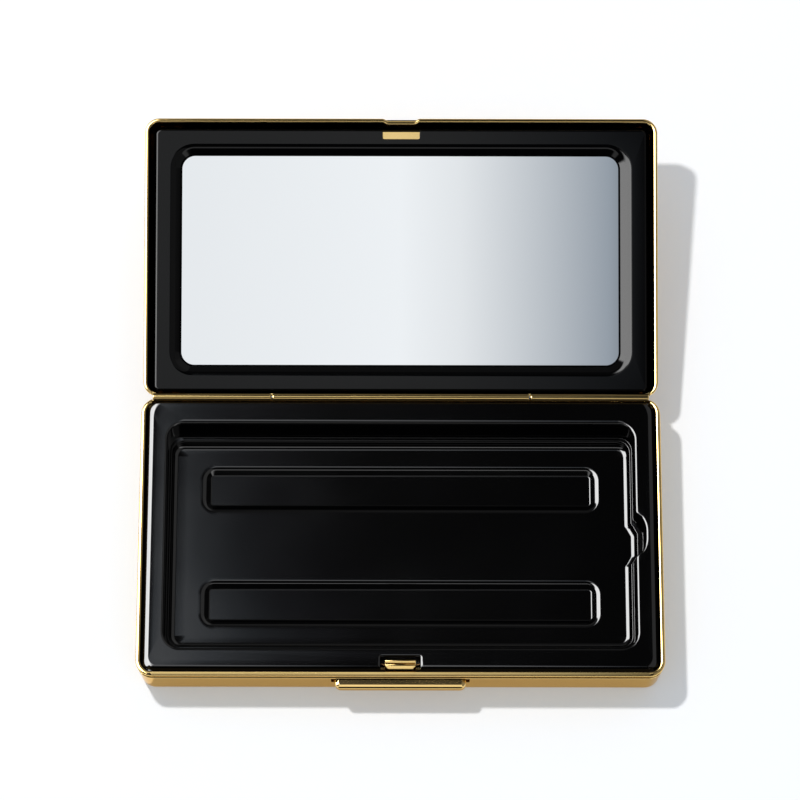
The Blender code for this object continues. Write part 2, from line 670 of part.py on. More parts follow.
def make_latch_hook():
    """The hook, bent from strip: a plate on the bar's studs and a stem up through the tray's pocket."""
    bm = bmesh.new()
    corners = [bm.verts.new((-HOOK_WIDTH / 2, y, z)) for y, z in hook_profile()]
    side = bm.faces.new(corners)
    pushed = bmesh.ops.extrude_face_region(bm, geom=[side])["geom"]
    far = [item for item in pushed if isinstance(item, bmesh.types.BMVert)]
    bmesh.ops.translate(bm, vec=(HOOK_WIDTH, 0, 0), verts=far)
    nose = min(y for y, z in hook_profile())
    for vert in bm.verts:
        if vert.co.y < nose + HOOK_SLOPE / 2:
            vert.co.x *= HOOK_TIP_WIDTH / HOOK_WIDTH
    bmesh.ops.recalc_face_normals(bm, faces=bm.faces)
    mesh = bpy.data.meshes.new("latch_hook")
    bm.to_mesh(mesh)
    bm.free()
    hook = piece("latch_hook", mesh, GILT, LATCH_AXIS)
    combine(hook, box_tool(
        "hook_plate",
        (-HOOK_PLATE_WIDTH / 2, HOOK_FRONT, FLANGE_BOTTOM),
        (HOOK_PLATE_WIDTH / 2, HOOK_REAR, FLANGE_TOP - HOOK_THICKNESS),
        LATCH_AXIS), "UNION")
    hole_radius = STUD_RADIUS + 2 * SEAT_GAP
    for side, x in (("left", -STUD_X), ("right", STUD_X)):
        hole = stud_mesh("stud_hole", x, hole_radius, HOOK_FRONT - RUN_GAP, HOOK_REAR + RUN_GAP)
        combine(hook, piece(f"{side}_stud_hole", hole, None, LATCH_AXIS))
    return hook


def make_latch_guide():
    """The guide under the tray's front border: the flange slides on its shelf between its cheeks."""
    shelf_top = FLANGE_BOTTOM - RUN_GAP
    shelf_low = shelf_top - GUIDE_SHELF
    block = box_mesh(
        "latch_guide", (-GUIDE_HALF, FLANGE_FRONT, shelf_low), (GUIDE_HALF, GUIDE_REAR, FLANGE_TOP))
    guide = piece("latch_guide", block, PLASTIC)
    combine(guide, box_tool(
        "guide_chamber",
        (GUIDE_WALL - GUIDE_HALF, FLANGE_FRONT - RUN_GAP, shelf_top),
        (GUIDE_HALF - GUIDE_WALL, GUIDE_FACE, FLANGE_TOP + RUN_GAP)))
    leg_front = BASE_INNER.front + INNER_ROUND
    for side, sign in (("left", -1), ("right", 1)):
        ends = sorted((sign * GUIDE_HALF, sign * (GUIDE_HALF - GUIDE_LEG)))
        combine(guide, box_tool(
            f"{side}_leg",
            (ends[0], leg_front, BASE_FLOOR + RUN_GAP),
            (ends[1], GUIDE_REAR, shelf_low + GUIDE_SHELF / 2)), "UNION")
    return guide


def make_latch_spring():
    """A bowed steel leaf between the guide's back and the hook's plate, which it pushes forward."""
    rest = GUIDE_FACE - SPRING_GAP - SPRING_THICKNESS / 2
    bow = rest - SPRING_THICKNESS / 2 - SPRING_GAP - HOOK_REAR
    low = BAR_MIDDLE - SPRING_HEIGHT / 2
    bm = bmesh.new()
    line = []
    for step in range(SPRING_STEPS + 1):
        share = 2 * step / SPRING_STEPS - 1
        line.append(bm.verts.new((share * SPRING_SPAN / 2, rest - bow * (1 - share * share), low)))
    edges = [bm.edges.new(pair) for pair in zip(line, line[1:])]
    raised = bmesh.ops.extrude_edge_only(bm, edges=edges)["geom"]
    top = [item for item in raised if isinstance(item, bmesh.types.BMVert)]
    bmesh.ops.translate(bm, vec=(0, 0, SPRING_HEIGHT), verts=top)
    mesh = bpy.data.meshes.new("latch_spring")
    bm.to_mesh(mesh)
    bm.free()
    leaf = piece("latch_spring", mesh, STEEL)
    solidify = leaf.modifiers.new("thickness", "SOLIDIFY")
    solidify.thickness = SPRING_THICKNESS
    solidify.offset = 0
    return leaf


make_base_shell()
make_tray_insert()
make_tapes()
make_hinge()
make_latch_guide()
make_latch_spring()
make_thumb_bar()
make_latch_hook()
make_lid_shell()
make_mirror_frame()
make_mirror()
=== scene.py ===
import json
import math

import bmesh
import bpy
from mathutils import Matrix, Vector


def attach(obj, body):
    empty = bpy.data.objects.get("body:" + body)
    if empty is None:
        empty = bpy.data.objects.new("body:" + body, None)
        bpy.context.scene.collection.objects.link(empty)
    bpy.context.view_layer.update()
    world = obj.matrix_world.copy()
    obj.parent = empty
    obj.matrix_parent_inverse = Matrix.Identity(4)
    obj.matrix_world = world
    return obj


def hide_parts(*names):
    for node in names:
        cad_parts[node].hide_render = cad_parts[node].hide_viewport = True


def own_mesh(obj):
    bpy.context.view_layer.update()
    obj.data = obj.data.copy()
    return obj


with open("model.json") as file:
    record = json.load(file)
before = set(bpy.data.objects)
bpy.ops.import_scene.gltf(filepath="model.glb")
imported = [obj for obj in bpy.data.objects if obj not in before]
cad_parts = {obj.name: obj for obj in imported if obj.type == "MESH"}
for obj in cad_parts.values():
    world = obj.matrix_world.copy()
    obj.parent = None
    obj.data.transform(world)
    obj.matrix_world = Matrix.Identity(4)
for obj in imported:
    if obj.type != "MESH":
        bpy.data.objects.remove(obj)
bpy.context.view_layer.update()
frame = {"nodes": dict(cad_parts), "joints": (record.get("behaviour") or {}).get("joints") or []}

# Sizes in this file are millimetres, as they are on the CAD drawings; shown() brings a mesh to metres.

# The table
# A seamless white sheet that the compact lies on. It keeps the compact's shadow, and a little of its
# own light brings the lit paper up to white in the picture and in the metal that mirrors it.
table = bpy.data.meshes.new("table")
bm = bmesh.new()
bmesh.ops.create_grid(bm, x_segments=1, y_segments=1, size=1.6)
bmesh.ops.translate(bm, vec=(0, 0, -0.00002), verts=bm.verts)
bm.to_mesh(table)
bm.free()
table_top = bpy.data.objects.new("table_top", table)
bpy.context.scene.collection.objects.link(table_top)

paper = bpy.data.materials.new("white paper")
paper.use_nodes = True
nodes, links = paper.node_tree.nodes, paper.node_tree.links
nodes.clear()
matt = nodes.new("ShaderNodeBsdfDiffuse")
matt.inputs["Color"].default_value = (0.92, 0.92, 0.92, 1)
glow = nodes.new("ShaderNodeEmission")
seen = nodes.new("ShaderNodeLightPath")
seen_or_mirrored = nodes.new("ShaderNodeMath")
seen_or_mirrored.operation = "MAXIMUM"
links.new(seen.outputs["Is Camera Ray"], seen_or_mirrored.inputs[0])
links.new(seen.outputs["Is Glossy Ray"], seen_or_mirrored.inputs[1])
lift = nodes.new("ShaderNodeMath")
lift.operation = "MULTIPLY"
lift.inputs[1].default_value = 0.11
links.new(seen_or_mirrored.outputs[0], lift.inputs[0])
links.new(lift.outputs[0], glow.inputs["Strength"])
both = nodes.new("ShaderNodeAddShader")
links.new(matt.outputs[0], both.inputs[0])
links.new(glow.outputs[0], both.inputs[1])
links.new(both.outputs[0], nodes.new("ShaderNodeOutputMaterial").inputs["Surface"])
table.materials.append(paper)

# The studio
# Plain soft light from a white room. What polished metal, glass and gloss plastic mirror is a pale
# ceiling that ends over the right half, a broad light panel on the left, a low strip light at the
# front, and dim walls on the right and behind. The rest of the room is dark.
world = bpy.data.worlds.new("studio")
bpy.context.scene.world = world
world.use_nodes = True
nodes, links = world.node_tree.nodes, world.node_tree.links
nodes.clear()
way = nodes.new("ShaderNodeTexCoord")
split = nodes.new("ShaderNodeSeparateXYZ")
links.new(way.outputs["Generated"], split.inputs[0])


def faded(value, start, end, low=0.0, high=1.0, curve="SMOOTHSTEP"):
    """A change from low to high as the value goes from start to end."""
    node = nodes.new("ShaderNodeMapRange")
    node.interpolation_type = curve
    node.inputs["From Min"].default_value = start
    node.inputs["From Max"].default_value = end
    node.inputs["To Min"].default_value = low
    node.inputs["To Max"].default_value = high
    links.new(value, node.inputs["Value"])
    return node.outputs["Result"]


def joined(operation, first, second):
    """A Math node on two values, each a socket or a number."""
    node = nodes.new("ShaderNodeMath")
    node.operation = operation
    for place, value in enumerate((first, second)):
        if isinstance(value, (int, float)):
            node.inputs[place].default_value = value
        else:
            links.new(value, node.inputs[place])
    return node.outputs[0]


def product(first, *others):
    """All the values multiplied."""
    for other in others:
        first = joined("MULTIPLY", first, other)
    return first


across, along, up = split.outputs["X"], split.outputs["Y"], split.outputs["Z"]
# The ceiling's soft edge, over the middle in front of the compact and further to the left behind it
slant = joined("ADD", across, faded(along, -0.05, 0.25, -0.03, 0.125))
ceiling_edge = nodes.new("ShaderNodeValToRGB")
EDGE_START, EDGE_END = -0.1, 0.2
# White that fades gently at first, then evenly to a blue grey, and drops to dark
tints = (
    (-0.10, 0.85, 0.87, 0.89), (-0.03, 0.91, 0.93, 0.95), (-0.01, 0.81, 0.83, 0.85),
    (0.04, 0.31, 0.35, 0.40), (0.05, 0.16, 0.18, 0.20), (0.07, 0.06, 0.06, 0.07),
    (0.10, 0.02, 0.02, 0.02), (0.18, 0.005, 0.005, 0.005))
while len(ceiling_edge.color_ramp.elements) < len(tints):
    ceiling_edge.color_ramp.elements.new(0.5)
for stop, (place, *tint) in zip(ceiling_edge.color_ramp.elements, tints):
    stop.position = (place - EDGE_START) / (EDGE_END - EDGE_START)
    stop.color = (*tint, 1)
links.new(faded(slant, EDGE_START, EDGE_END, curve="LINEAR"), ceiling_edge.inputs["Fac"])
# The ceiling and the panel show only in a first reflection, so the well's walls stay black
path = nodes.new("ShaderNodeLightPath")
mirrored_once = joined("LESS_THAN", path.outputs["Glossy Depth"], 1.5)
ceiling = nodes.new("ShaderNodeVectorMath")
ceiling.operation = "SCALE"
links.new(ceiling_edge.outputs["Color"], ceiling.inputs[0])
links.new(
    product(faded(along, 0.52, 0.34), faded(along, -0.22, -0.15), faded(across, -0.50, -0.30),
            mirrored_once),
    ceiling.inputs["Scale"])
PANEL_LIGHT, STRIP_LIGHT = 9.5, 1.1
SIDE_LIGHT, REAR_LOW, REAR_LIGHT, DARK = 0.25, 0.05, 0.12, 0.008
panel_edge = joined("ADD", across, faded(along, -0.05, 0.10, 0.06, 0.0))
panel = product(
    faded(panel_edge, -0.07, -0.24), faded(along, -0.45, -0.30), faded(along, 0.50, 0.38),
    faded(up, 0.28, 0.40), mirrored_once, PANEL_LIGHT)
# The strip light draws a bright line on what is rounded towards the front
strip = product(faded(along, -0.70, -0.75), faded(along, -0.90, -0.84), STRIP_LIGHT)
rear_wall = product(
    faded(along, 0.30, 0.50), faded(up, 0.16, 0.24), faded(up, 0.68, 0.58, REAR_LOW, REAR_LIGHT))
side_wall = product(faded(across, 0.13, 0.20), faded(up, 0.25, 0.40), SIDE_LIGHT)
room = nodes.new("ShaderNodeVectorMath")
links.new(ceiling.outputs["Vector"], room.inputs[0])
lights = joined("ADD", panel, strip)
walls = joined("ADD", side_wall, joined("ADD", rear_wall, DARK))
links.new(joined("ADD", lights, walls), room.inputs[1])

backdrop = nodes.new("ShaderNodeBackground")
backdrop.inputs["Color"].default_value = (1, 1, 1, 1)
mirrored_room = nodes.new("ShaderNodeBackground")
links.new(room.outputs["Vector"], mirrored_room.inputs["Color"])
soft_light = nodes.new("ShaderNodeBackground")
soft_light.inputs["Color"].default_value = (0.92, 1.0, 1.11, 1)
soft_light.inputs["Strength"].default_value = 0.51
mirrored = product(
    joined("MAXIMUM", path.outputs["Is Glossy Ray"], path.outputs["Is Transmission Ray"]),
    joined("LESS_THAN", path.outputs["Diffuse Depth"], 0.5))
glossy = nodes.new("ShaderNodeMixShader")
links.new(mirrored, glossy.inputs[0])
links.new(soft_light.outputs[0], glossy.inputs[1])
links.new(mirrored_room.outputs[0], glossy.inputs[2])
camera_rays = nodes.new("ShaderNodeMixShader")
links.new(path.outputs["Is Camera Ray"], camera_rays.inputs[0])
links.new(glossy.outputs[0], camera_rays.inputs[1])
links.new(backdrop.outputs[0], camera_rays.inputs[2])
links.new(camera_rays.outputs[0], nodes.new("ShaderNodeOutputWorld").inputs["Surface"])

# The lamp
# One small lamp half a metre up, to the left and a little behind, which gives the crisp shadow at the
# right and along the front wall. It lights the whole table evenly.
lamp = bpy.data.lights.new("lamp", "POINT")
lamp.energy = 1.0
lamp.shadow_soft_size = 0.013
lamp.use_nodes = True
falloff = lamp.node_tree.nodes.new("ShaderNodeLightFalloff")
falloff.inputs["Strength"].default_value = 21.4
lamp.node_tree.links.new(falloff.outputs["Constant"], lamp.node_tree.nodes["Emission"].inputs["Strength"])
lamp_stand = bpy.data.objects.new("lamp", lamp)
lamp_stand.location = (-0.150, 0.130, 0.500)
lamp_stand.visible_glossy = False
bpy.context.scene.collection.objects.link(lamp_stand)

# The camera
# It looks down steeply on the open compact from the front, as the photograph does.
ELEVATION, DISTANCE, LENS, ROLL = math.radians(75.216), 0.659866, 133.87, math.radians(-0.098)
AIM = Vector((-0.00018, 0.030735, 0.0144))
toward = Vector((0, -math.cos(ELEVATION), math.sin(ELEVATION)))
level = Vector((1, 0, 0))
upward = toward.cross(level)
image_right = level * math.cos(ROLL) - upward * math.sin(ROLL)
image_up = level * math.sin(ROLL) + upward * math.cos(ROLL)
camera = bpy.data.objects.new("camera", bpy.data.cameras.new("camera"))
camera.data.lens = LENS
camera.data.sensor_width = 36
camera.data.clip_start, camera.data.clip_end = 0.01, 10
camera.matrix_world = Matrix((image_right, image_up, toward)).transposed().to_4x4()
camera.location = AIM + toward * DISTANCE
bpy.context.scene.collection.objects.link(camera)
bpy.context.scene.camera = camera
bpy.context.scene.view_settings.view_transform = "Standard"

# Base pan
# The deep lower shell: thin sheet drawn to a pan with a rounded foot, its rim rolled to a bead, then
# polished and gold plated. A slot in the front wall lets the thumb bar out, and the rear wall is cut
# down for the hinge.
CORNER_STEPS = 14


def ring(bm, half, front, rear, corner, z):
    """A level wire rectangle with rounded corners."""
    spots = [(half, front, z), (half, rear, z), (-half, rear, z), (-half, front, z)]
    others = set(bm.faces)
    verts = [bm.verts.new(spot) for spot in spots]
    bm.faces.new(verts)
    bmesh.ops.bevel(
        bm, geom=verts, offset=corner, segments=CORNER_STEPS, profile=0.5, affect="VERTICES", material=-1)
    sheet = next(face for face in bm.faces if face not in others)
    edges = list(sheet.edges)
    bm.faces.remove(sheet)
    return edges


def verts_in(geom):
    """The vertices among what an operator made."""
    return [item for item in geom if isinstance(item, bmesh.types.BMVert)]


def drawn(bm, wire, old, new):
    """Extrudes a ring and draws it out to the next size; each vertex keeps its place on its corner."""
    pushed = bmesh.ops.extrude_edge_only(bm, edges=wire)["geom"]
    verts = set(verts_in(pushed))
    for vert in verts:
        x, y, _ = vert.co
        side = math.copysign(1, x)
        old_y, new_y = old[1] + old[3], new[1] + new[3]
        if y > (old[1] + old[2]) / 2:
            old_y, new_y = old[2] - old[3], new[2] - new[3]
        spread = new[3] / old[3]
        x = side * (new[0] - new[3]) + (x - side * (old[0] - old[3])) * spread
        vert.co = (x, new_y + (y - old_y) * spread, new[4])
    edges = [item for item in pushed if isinstance(item, bmesh.types.BMEdge)]
    return [edge for edge in edges if verts.issuperset(edge.verts)]


def skin(bm, rings, steps=6, ends=(0, -1)):
    """Draws a skin through rings: half width, front, rear, corner, height and the width of its bevel."""
    wires = [ring(bm, *rings[0][:5])]
    for old, new in zip(rings, rings[1:]):
        wires.append(drawn(bm, wires[-1], old, new))
    for end in ends:
        bmesh.ops.contextual_create(bm, geom=wires[end])
    for wire, sizes in zip(wires, rings):
        if len(sizes) > 5:
            bmesh.ops.bevel(
                bm, geom=wire, offset=sizes[5], segments=steps, profile=0.5, affect="EDGES", material=-1)
    return wires


def lofted(rings):
    """A closed body drawn through its rings."""
    bm = bmesh.new()
    skin(bm, rings)
    return bm


def add_box(bm, low, high):
    """Adds a box between two corners."""
    verts = bmesh.ops.create_cube(bm, size=1)["verts"]
    low, high = Vector(low), Vector(high)
    bmesh.ops.scale(bm, vec=high - low, verts=verts)
    bmesh.ops.translate(bm, vec=(low + high) / 2, verts=verts)


def block(low, high, corner=0.0):
    """A body that is one box, its upright edges rounded."""
    bm = bmesh.new()
    add_box(bm, low, high)
    if corner:
        upright = [e for e in bm.edges if abs(e.verts[0].co.z - e.verts[1].co.z) > 1e-4]
        bmesh.ops.bevel(
            bm, geom=upright, offset=corner, segments=6, profile=0.5, affect="EDGES", material=-1)
    return bm


def as_mesh(bm, name):
    """The worked mesh, closed, facing outwards and taken out of the bmesh."""
    bmesh.ops.remove_doubles(bm, verts=bm.verts, dist=1e-4)
    bmesh.ops.recalc_face_normals(bm, faces=bm.faces)
    mesh = bpy.data.meshes.new(name)
    bm.to_mesh(mesh)
    bm.free()
    return mesh


def without(bm, *tools):
    """The body with each tool's shape cut out of it."""
    body = bpy.data.objects.new("body", as_mesh(bm, "body"))
    bpy.context.scene.collection.objects.link(body)
    for tool in tools:
        cutter = bpy.data.objects.new("cutter", as_mesh(tool, "cutter"))
        bpy.context.scene.collection.objects.link(cutter)
        cut = body.modifiers.new("cut", "BOOLEAN")
        cut.object = cutter
        cut.solver = "MANIFOLD"
    shaped = bpy.data.meshes.new_from_object(body.evaluated_get(bpy.context.evaluated_depsgraph_get()))
    bm = bmesh.new()
    bm.from_mesh(shaped)
    for cut in list(body.modifiers):
        bpy.data.objects.remove(cut.object)
    bpy.data.objects.remove(body)
    return bm


def shown(bm, name, node, body, finish, edge_round=0.0, sharp=32):
    """A finished piece in metres: smooth but for its sharp edges, which may be broken a little."""
    bmesh.ops.remove_doubles(bm, verts=bm.verts, dist=1e-4)
    bmesh.ops.scale(bm, vec=(0.001, 0.001, 0.001), verts=bm.verts)
    bmesh.ops.recalc_face_normals(bm, faces=bm.faces)
    for face in bm.faces:
        face.smooth = True
    for edge in bm.edges:
        edge.smooth = edge.calc_face_angle(0) < math.radians(sharp)
    mesh = bpy.data.meshes.new(name)
    bm.to_mesh(mesh)
    bm.free()
    mesh.materials.append(finish)
    piece = bpy.data.objects.new(name, mesh)
    bpy.context.scene.collection.objects.link(piece)
    if edge_round:
        broken = piece.modifiers.new("broken edges", "BEVEL")
        broken.width = edge_round / 1000
        broken.segments = 3
        broken.limit_method = "ANGLE"
        broken.angle_limit = math.radians(sharp)
        broken.use_clamp_overlap = True
    even = piece.modifiers.new("even shading", "WEIGHTED_NORMAL")
    even.keep_sharp = True
    even.weight = 90
    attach(piece, body)
    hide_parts(node)
    return piece


# The fine unevenness that hand polish, plating or moulding leaves
unevenness = bpy.data.node_groups.new("Unevenness", "ShaderNodeTree")
for label, kind in (("Patch Size", "NodeSocketFloat"), ("Grain Size", "NodeSocketFloat"),
                    ("Smoothest", "NodeSocketFloat"), ("Roughest", "NodeSocketFloat")):
    unevenness.interface.new_socket(label, in_out="INPUT", socket_type=kind)
for label in ("Roughness", "Height", "Patches"):
    unevenness.interface.new_socket(label, in_out="OUTPUT", socket_type="NodeSocketFloat")
nodes, links = unevenness.nodes, unevenness.links
given = nodes.new("NodeGroupInput")
place = nodes.new("ShaderNodeTexCoord")
patches = nodes.new("ShaderNodeTexNoise")
patches.inputs["Detail"].default_value = 3
grain = nodes.new("ShaderNodeTexNoise")
grain.inputs["Detail"].default_value = 2
for noise, size in ((patches, "Patch Size"), (grain, "Grain Size")):
    per_metre = nodes.new("ShaderNodeMath")
    per_metre.operation = "DIVIDE"
    per_metre.inputs[0].default_value = 1
    links.new(given.outputs[size], per_metre.inputs[1])
    links.new(per_metre.outputs[0], noise.inputs["Scale"])
    links.new(place.outputs["Object"], noise.inputs["Vector"])
dull = nodes.new("ShaderNodeMapRange")
dull.inputs["From Min"].default_value = 0.3
dull.inputs["From Max"].default_value = 0.7
links.new(patches.outputs["Fac"], dull.inputs["Value"])
links.new(given.outputs["Smoothest"], dull.inputs["To Min"])
links.new(given.outputs["Roughest"], dull.inputs["To Max"])
heights = nodes.new("ShaderNodeMath")
heights.operation = "MULTIPLY_ADD"
heights.inputs[1].default_value = 0.15
links.new(grain.outputs["Fac"], heights.inputs[0])
links.new(patches.outputs["Fac"], heights.inputs[2])
out = nodes.new("NodeGroupOutput")
links.new(dull.outputs["Result"], out.inputs["Roughness"])
links.new(heights.outputs[0], out.inputs["Height"])
links.new(patches.outputs["Fac"], out.inputs["Patches"])


def surface(name, colour, other, metallic, roughness, patch, grain_size, relief, specular=0.5,
            edge_tint=(1, 1, 1)):
    """A finish whose colour, roughness and relief vary as the unevenness says; sizes are in metres."""
    finish = bpy.data.materials.new(name)
    finish.use_nodes = True
    nodes, links = finish.node_tree.nodes, finish.node_tree.links
    shader = nodes["Principled BSDF"]
    shader.inputs["Metallic"].default_value = metallic
    shader.inputs["Specular IOR Level"].default_value = specular
    shader.inputs["Specular Tint"].default_value = (*edge_tint, 1)
    uneven = nodes.new("ShaderNodeGroup")
    uneven.node_tree = unevenness
    uneven.inputs["Patch Size"].default_value = patch
    uneven.inputs["Grain Size"].default_value = grain_size
    uneven.inputs["Smoothest"].default_value, uneven.inputs["Roughest"].default_value = roughness
    links.new(uneven.outputs["Roughness"], shader.inputs["Roughness"])
    bump = nodes.new("ShaderNodeBump")
    bump.inputs["Strength"].default_value = 1
    bump.inputs["Distance"].default_value = relief
    links.new(uneven.outputs["Height"], bump.inputs["Height"])
    links.new(bump.outputs["Normal"], shader.inputs["Normal"])
    tone = nodes.new("ShaderNodeMix")
    tone.data_type = "RGBA"
    tone.inputs["A"].default_value = (*colour, 1)
    tone.inputs["B"].default_value = (*other, 1)
    links.new(uneven.outputs["Patches"], tone.inputs["Factor"])
    links.new(tone.outputs["Result"], shader.inputs["Base Color"])
    return finish


gold_plate = surface(
    "polished gold plate", (0.89, 0.64, 0.27), (0.83, 0.58, 0.22), metallic=1.0, roughness=(0.06, 0.13),
    patch=0.018, grain_size=0.0006, relief=0.000004, edge_tint=(0.85, 0.64, 0.34))

pan = lofted([
    (57.25, -31.35, 31.20, 3.35, 0.00, 1.4),
    (57.25, -31.35, 31.20, 3.35, 12.85, 0.12),
    (57.00, -30.90, 31.20, 3.10, 13.00),
    (57.00, -30.90, 31.20, 3.10, 13.10),
    (57.50, -31.12, 31.20, 3.60, 13.30, 0.1),
    (57.50, -31.12, 31.20, 3.60, 14.40, 0.5),
    (56.45, -30.07, 30.40, 2.55, 14.40, 0.4),
    (56.45, -30.07, 30.40, 2.55, 0.80, 1.7),
])
# Along the front, between the corners, the rim's top is flatter and leans forwards
RIM_TOP, RIM_BACK, RIM_MIDDLE, RIM_FRONT, RIM_LEAN = 14.4, -30.07, -30.6, -31.12, 0.17
BEAD_MIDDLE, FRONT_INSIDE = 13.85, -29.9
STRAIGHT_HALF, CORNER_LENGTH = 53.9, 2.5
for vert in pan.verts:
    x, y, z = vert.co
    if y < FRONT_INSIDE and z > BEAD_MIDDLE:
        share = 1 - min(max((abs(x) - STRAIGHT_HALF) / CORNER_LENGTH, 0), 1)
        y += share * ((RIM_BACK if y > RIM_MIDDLE else RIM_FRONT) - y) / 2
        vert.co.y = y
        vert.co.z = z + share * ((RIM_TOP - z) / 2 + RIM_LEAN * (y - RIM_BACK))
hinge_seat = block((-55.3, 30.05, 13.45), (55.3, 32.4, 15.2))
lip_seat = block((-55.3, 30.05, 12.8), (55.3, 30.75, 15.2))
thumb_slot = block((-15.1, -32.2, 8.0), (15.1, -29.5, 12.0))
base_pan = shown(
    without(pan, hinge_seat, lip_seat, thumb_slot), "base_pan", "base_shell", "base",
    gold_plate, 0.08)

# Tray
# Black gloss plastic moulded in one: a rolled rim, a stepped well with a finger notch at the right
# and two shallow channels in its floor. The pocket in the front border lets the latch's hook through.
CHANNEL_HALF, CHANNEL_DEPTH = 44.5, 1.2
CHANNELS = ((-18.40, -7.60), (7.55, 18.35))
FLOOR, LEDGE = 2.9, 5.8
NOTCH_MIDDLE, NOTCH_REACH, NOTCH_CUTS = 0.65, 6, 48


def swell(along, mouth, flat, fullness=1.0):
    """How far back a notched wall stands, from 0 at the notch's ends to 1 in its middle."""
    share = min(max((mouth / 2 - abs(along)) / ((mouth - flat) / 2), 0), 1)
    return (1 - (1 - share) ** fullness) * (1 - math.cos(math.pi * min(share / 0.3, 1))) / 2


gloss_black = surface(
    "gloss black plastic", (0.0004, 0.0004, 0.0005), (0.0008, 0.0008, 0.0009), metallic=0.0,
    roughness=(0.045, 0.085), patch=0.022, grain_size=0.0012, relief=0.000003, specular=1.0)

bm = bmesh.new()
tray_rings = [
    (50.10, -22.95, 23.25, 1.9, 1.25),
    (51.50, -23.75, 24.05, 2.7, 3.0),
    (51.70, -24.15, 24.45, 3.1, 4.9),
    (52.35, -24.85, 25.15, 3.8, 5.1),
    (52.70, -25.65, 26.55, 4.5, 12.6),
    (55.20, -29.05, 29.15, 1.3, 12.6),
    (55.20, -29.05, 29.15, 1.3, 2.5),
    (56.30, -29.95, 30.05, 2.4, 2.5),
    (56.30, -29.95, 30.05, 2.4, 12.0, 0.2),
    (56.25, -29.75, 29.85, 2.4, 12.7, 0.12),
    (55.95, -29.10, 29.20, 2.2, 13.2, 0.4),
    (55.05, -28.15, 28.25, 1.9, 13.5, 0.3),
    (53.80, -26.95, 27.30, 2.3, 13.465),
    (51.65, -24.75, 25.65, 3.6, 13.475, 0.55),
    (51.70, -23.95, 24.25, 2.9, LEDGE, 0.08),
    (51.15, -23.25, 23.55, 2.7, LEDGE, 0.10),
    (51.10, -22.85, 23.15, 2.6, FLOOR, 1.2),
    (47.60, -20.45, 20.75, 0.3, FLOOR),
]
collars = [skin(bm, tray_rings, 8, (0,))[-1]]
# The rolled rim is tighter along the hinge, where it reaches over the wall. Along the front it drops to
# a low step, which leaves a dark gap before the pan's rim.
REAR_BORDER, REAR_ROLL, LIP_REACH, WALL_REACH, REAR_TIGHT = 25.8, 28.25, 4.54, 4.04, 0.27
FRONT_BORDER, FRONT_ROLL, RIM_FOOT = -24.9, -28.15, 12.65
TOP_STRETCH, DROP_TIGHT, STEP_TIGHT = 1.215, 0.17, 0.92
DROP_WIDTH, STEP_WIDTH, STEP_DEPTH = 0.95, 0.65, 0.2
WALL_STRETCH, WALL_TIGHT = 1.338, 0.3
for vert in bm.verts:
    _, y, z = vert.co
    if y > REAR_BORDER:
        past = max(y - REAR_ROLL, 0)
        stretch = (LIP_REACH if z > 13.0 else WALL_REACH) / (REAR_ROLL - REAR_BORDER)
        vert.co.y = REAR_BORDER + (y - past - REAR_BORDER) * stretch + past * REAR_TIGHT
    elif y < FRONT_BORDER:
        past = max(FRONT_ROLL - y, 0)
        border = y + past - FRONT_BORDER
        if z > RIM_FOOT:
            drop, step = min(past, DROP_WIDTH), max(past - DROP_WIDTH, 0)
            vert.co.y = FRONT_BORDER + border * TOP_STRETCH - drop * DROP_TIGHT - step * STEP_TIGHT
            vert.co.z -= STEP_DEPTH * max(min(past / DROP_WIDTH, 1 - step / STEP_WIDTH), 0)
        else:
            vert.co.y = FRONT_BORDER + border * WALL_STRETCH - past * WALL_TIGHT
for front, rear in CHANNELS:
    collars.append(skin(bm, [
        (CHANNEL_HALF + 0.5, front - 0.5, rear + 0.5, 3.8, FLOOR),
        (CHANNEL_HALF - 0.6, front + 0.5, rear - 0.5, 2.8, FLOOR, 0.5),
        (CHANNEL_HALF - 2.05, front + 2.0, rear - 1.98, 0.6, FLOOR - CHANNEL_DEPTH, 0.12),
    ], 8, (-1,))[0])
bmesh.ops.triangle_fill(
    bm, use_beauty=True, use_dissolve=False, edges=[edge for wire in collars for edge in wire])
# The notch: the right wall is cut into narrow strips and swelled outwards, less below the ledge
WALL_FOOT, LOWER_WALL, UPPER_WALL, BORDER_START, BORDER_END = 49, 49.6, 51.3, 53.0, 54.1
for cut in range(NOTCH_CUTS + 1):
    y = NOTCH_MIDDLE - NOTCH_REACH + 2 * NOTCH_REACH * cut / NOTCH_CUTS
    middles = [(face, face.calc_center_median()) for face in bm.faces]
    strip = [face for face, middle in middles if middle.x > WALL_FOOT and middle.z > FLOOR + 0.01]
    near = {v for f in strip for v in f.verts} | {e for f in strip for e in f.edges} | set(strip)
    bmesh.ops.bisect_plane(bm, geom=list(near), dist=1e-5, plane_co=(0, y, 0), plane_no=(0, 1, 0))
UPPER_PUSH, BORDER_PUSH, LOWER_PUSH, LOWER_FORWARD = 2.2, 0.75, 1.4, 0.6
for vert in bm.verts:
    x, y, z = vert.co
    y -= NOTCH_MIDDLE
    if LOWER_WALL < x < BORDER_END and abs(y) < NOTCH_REACH:
        if (x > UPPER_WALL or z > LEDGE + 0.01) and z > LEDGE - 0.1:
            push = UPPER_PUSH if x < BORDER_START else BORDER_PUSH
            vert.co.x += push * swell(y, mouth=10.6, flat=1, fullness=2.4)
        else:
            vert.co.x += LOWER_PUSH * swell(y + LOWER_FORWARD, mouth=9.6, flat=4.6)
pocket = lofted([
    (4.35, -29.45, -26.65, 0.25, 10.8),
    (4.35, -29.45, -26.65, 0.25, 13.22, 0.15),
    (4.90, -30.00, -26.10, 0.80, 13.50),
    (4.90, -30.00, -26.10, 0.80, 14.50),
])
tray_moulding = shown(
    without(bm, pocket), "tray_moulding", "tray_insert", "base", gloss_black, 0.12)

